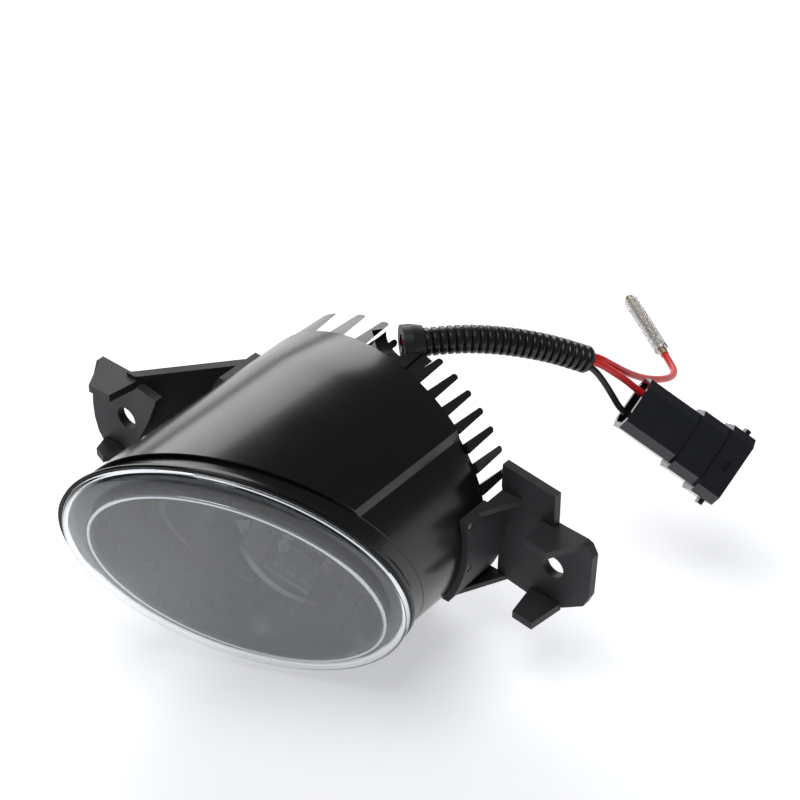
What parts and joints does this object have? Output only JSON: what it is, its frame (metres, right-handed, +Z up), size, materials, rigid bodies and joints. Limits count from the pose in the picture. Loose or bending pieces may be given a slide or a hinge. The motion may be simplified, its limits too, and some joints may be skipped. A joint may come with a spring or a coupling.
{
  "type": "fog light",
  "caption": "Round-bodied automotive LED fog light with a swept oval lens, finned heat sink, bolt ears and a short harness to a two-pole plug and a bullet connector.",
  "frame": {"origin": "on the lamp's axis, midway between the two ear bolt holes", "axes": "+X to the right seen from the front, -Y the way the light shines, +Z up"},
  "size_m": [0.1641, 0.2072, 0.0952],
  "materials": {
    "glass": "clear, faintly smoked",
    "casing": "gloss black powder coat on die-cast metal",
    "sink": "semi-gloss black die casting",
    "bracket": "matte moulded black plastic with fine grain",
    "seal": "soft black rubber",
    "bezel": "smoke grey moulded plastic",
    "reflector": "vacuum-metallised",
    "metal": "milled",
    "board": "white solder mask",
    "driver": "green circuit board",
    "emitter": "phosphor yellow",
    "pad": "grey silicone",
    "steel": "zinc plated",
    "component": "moulded",
    "conduit": "semi-gloss corrugated nylon",
    "gland": "moulded rubber",
    "red_wire": "smooth insulation",
    "black_wire": "smooth insulation",
    "plug": "gloss moulded nylon",
    "brass": "tin plated brass",
    "sleeve": "translucent soft vinyl"
  },
  "bodies": {
    "lamp": {"front_casing": "casing", "lens_seal": "seal", "outer_lens": "glass", "inner_bezel": "bezel", "reflector": "reflector", "led_shelf": "metal", "thermal_pads": "pad", "led_boards": "board", "led_emitters": "emitter", "led_board_screws": "steel", "heat_sink": "sink", "casing_seal": "seal", "driver_board": "driver", "driver_coil": "component", "driver_capacitors": "component", "driver_screws": "steel", "housing_screws": "steel", "right_bracket": "bracket", "left_bracket": "bracket", "bracket_screws": "steel", "cable_gland": "gland", "conduit": "conduit", "black_wire": "black_wire", "red_wire": "red_wire", "bullet_wire": "red_wire", "plug_housing": "plug", "plug_pins": "brass", "plug_wire_seals": "gland", "bullet_terminal": "brass"},
    "sleeve": {"bullet_sleeve": "sleeve"}
  },
  "joints": [
    {"name": "sleeve_slide", "type": "slide", "parent": "lamp", "child": "sleeve", "axis": [-0.8488, 0.5239, 0.071], "range_m": [-0.005, 0.003]}
  ]
}
